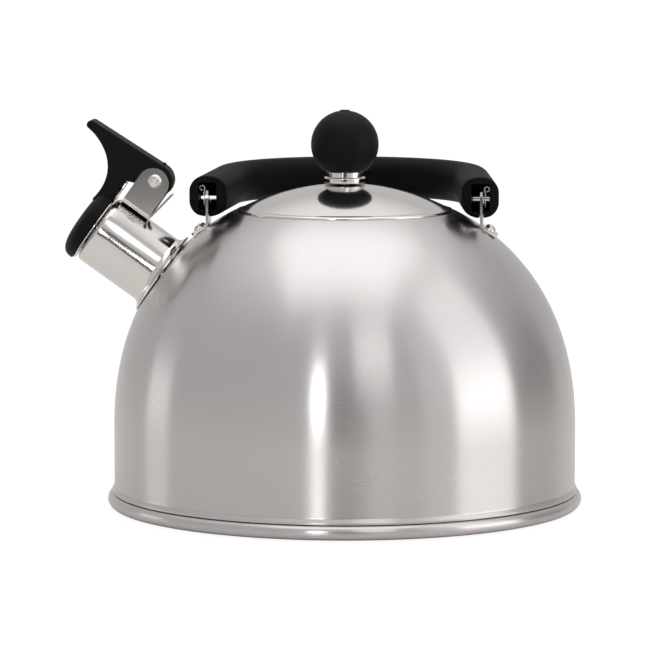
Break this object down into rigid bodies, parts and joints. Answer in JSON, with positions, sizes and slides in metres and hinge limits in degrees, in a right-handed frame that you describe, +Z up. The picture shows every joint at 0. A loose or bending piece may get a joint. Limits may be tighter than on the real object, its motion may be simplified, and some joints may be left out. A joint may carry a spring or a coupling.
{
  "type": "stovetop whistling kettle",
  "caption": "Domed steel stovetop kettle with a fold-back bail handle, a flip-up whistle cap on a slanted spout and a lift-off lid with a ball knob.",
  "frame": {"origin": "centre of the flat base, on the surface that the kettle stands on", "axes": "+Z up the body's axis; -X is the spout's side; +Y is the side that the handle folds back to, so -Y is the front"},
  "size_m": [0.2073, 0.1898, 0.1584],
  "materials": {
    "brushed_body": "satin stainless steel, brushed round the axis",
    "polished_steel": "mirror-polished stainless steel",
    "spring_steel": "plain bright spring steel",
    "black_cap": "fine-textured black heat-resistant plastic",
    "black_knob": "fine-textured black heat-resistant plastic",
    "black_grip": "black soft-touch coating",
    "brass_insert": "plain brass"
  },
  "bodies": {
    "kettle_body": {"dome_shell": "brushed_body", "base_pan": "brushed_body", "spout_tube": "polished_steel", "hinge_bracket": "polished_steel", "hinge_pin": "polished_steel", "cap_spring": "spring_steel", "handle_bracket_left": "polished_steel", "handle_bracket_right": "polished_steel", "bracket_rivet_left_front": "polished_steel", "bracket_rivet_left_rear": "polished_steel", "bracket_rivet_right_front": "polished_steel", "bracket_rivet_right_rear": "polished_steel"},
    "bail": {"handle": "black_grip", "handle_pin_left": "polished_steel", "handle_pin_right": "polished_steel", "spring_clip_left": "spring_steel", "spring_clip_right": "spring_steel"},
    "whistle_cap": {"spout_cap": "black_cap", "whistle_plate": "polished_steel", "whistle_cup": "polished_steel"},
    "lid": {"lid_shell": "polished_steel", "lid_skirt": "brushed_body", "knob_collar": "polished_steel", "knob": "black_knob", "knob_insert": "brass_insert", "knob_washer": "spring_steel", "knob_screw": "spring_steel"}
  },
  "joints": [
    {"name": "handle_fold", "type": "hinge", "parent": "kettle_body", "child": "bail", "pos_m": [0, 0, 0.1234], "axis": [1, 0, 0], "range_deg": [0, 88.3]},
    {"name": "spout_flip", "type": "hinge", "parent": "kettle_body", "child": "whistle_cap", "pos_m": [-0.07539, 0, 0.13022], "axis": [0, 1, 0], "range_deg": [0, 55], "stiffness_Nm_per_rad": 0.06, "springref_deg": -28.65},
    {"name": "lid_lift", "type": "slide", "parent": "kettle_body", "child": "lid", "axis": [0, 0, 1], "range_m": [0, 0.024]}
  ]
}
